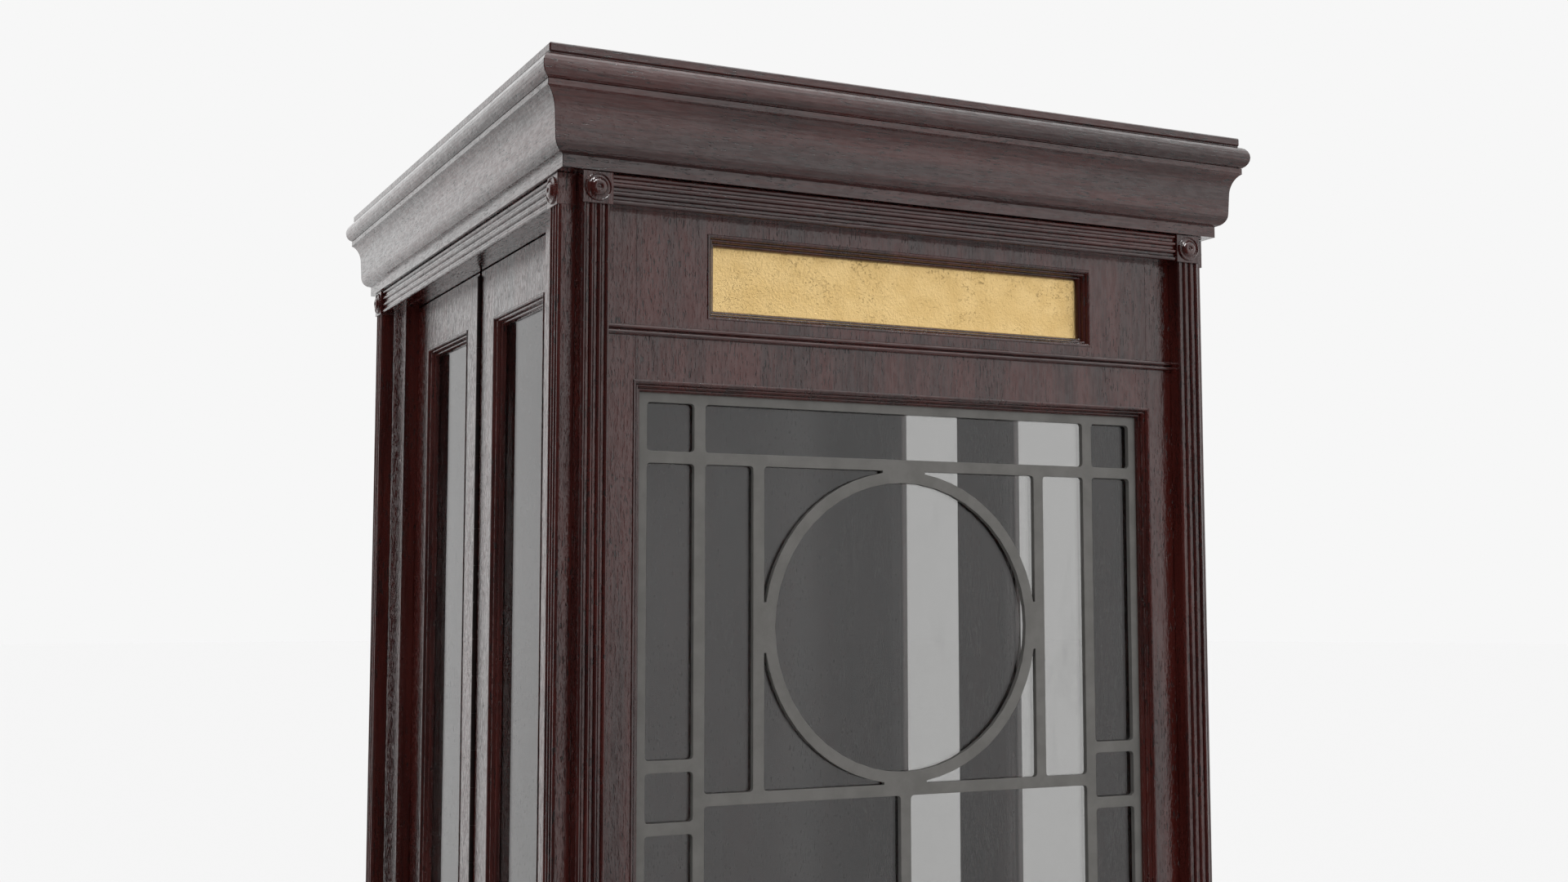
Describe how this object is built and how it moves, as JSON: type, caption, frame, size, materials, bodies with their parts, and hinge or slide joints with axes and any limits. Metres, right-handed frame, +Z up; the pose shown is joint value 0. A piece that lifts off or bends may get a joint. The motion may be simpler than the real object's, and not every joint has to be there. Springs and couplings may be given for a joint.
{
  "type": "armoire",
  "caption": "Tall booth-form wooden armoire with a moulded cornice, reeded corner pilasters, a brass sign plate, a barred front window, glazed sides and a folding door on the left.",
  "frame": {"origin": "middle of the footprint, on the floor", "axes": "+Z up, -Y out of the front with the sign plate, -X out of the side with the folding door"},
  "size_m": [0.9806, 1.0246, 2.2],
  "materials": {
    "mahogany": "dark red-brown mahogany under high-gloss varnish with open grain",
    "brass": "light satin brass, finely pitted",
    "grille_metal": "dark warm satin metal",
    "hinge_metal": "near-black antique bronze finish, satin",
    "steel": "plain dull steel",
    "glass": "clear window glass, a little smudged"
  },
  "bodies": {
    "carcass": {"apron_moulding": "mahogany", "back_board_left": "mahogany", "back_board_middle": "mahogany", "back_board_right": "mahogany", "base_frame": "mahogany", "ceiling_board": "mahogany", "corner_post_front_left": "mahogany", "corner_post_front_right": "mahogany", "corner_post_rear_left": "mahogany", "corner_post_rear_right": "mahogany", "cornice_back": "mahogany", "cornice_front": "mahogany", "cornice_left": "mahogany", "cornice_right": "mahogany", "door_header_left": "mahogany", "floor_board": "mahogany", "frieze_back": "mahogany", "frieze_front": "mahogany", "frieze_left": "mahogany", "frieze_right": "mahogany", "front_apron": "mahogany", "front_bead_rail": "mahogany", "front_glass": "glass", "front_sign_board": "mahogany", "front_window_rail": "mahogany", "pilaster_back_left": "mahogany", "pilaster_back_right": "mahogany", "pilaster_front_left": "mahogany", "pilaster_front_right": "mahogany", "pilaster_left_front": "mahogany", "pilaster_left_rear": "mahogany", "pilaster_right_front": "mahogany", "pilaster_right_rear": "mahogany", "roof_board": "mahogany", "side_header_right": "mahogany", "side_sash_front_frame": "mahogany", "side_sash_front_glass": "glass", "side_sash_front_moulding": "mahogany", "side_sash_rear_frame": "mahogany", "side_sash_rear_glass": "glass", "side_sash_rear_moulding": "mahogany", "sign_moulding": "mahogany", "sign_plate": "brass", "window_grille": "grille_metal", "window_moulding": "mahogany", "window_stop": "mahogany"},
    "rear_leaf": {"door_leaf_rear_frame": "mahogany", "door_leaf_rear_moulding": "mahogany", "door_leaf_rear_glass": "glass", "fold_hinge_rear": "hinge_metal", "fold_hinge_pin": "hinge_metal", "upper_pivot_pin": "steel", "lower_pivot_pin": "steel"},
    "front_leaf": {"door_leaf_front_frame": "mahogany", "door_leaf_front_moulding": "mahogany", "door_leaf_front_glass": "glass", "fold_hinge_front": "hinge_metal", "guide_pin": "steel", "door_pull": "brass"},
    "roller": {"guide_roller": "steel"}
  },
  "joints": [
    {"name": "door_pivot", "type": "hinge", "parent": "carcass", "child": "rear_leaf", "pos_m": [-0.3965, 0.2995, 0.1035], "axis": [0, 0, 1], "range_deg": [0, 82]},
    {"name": "door_fold", "type": "hinge", "parent": "rear_leaf", "child": "front_leaf", "pos_m": [-0.4125, 0, 0.1035], "axis": [0, 0, 1], "range_deg": [-164, 0]},
    {"name": "roller_spin", "type": "hinge", "parent": "front_leaf", "child": "roller", "pos_m": [-0.3965, -0.2995, 2.041], "axis": [0, 0, 1], "continuous": true}
  ],
  "couplings": [
    {"joint": "door_fold", "follows": "door_pivot", "ratio": -2}
  ]
}
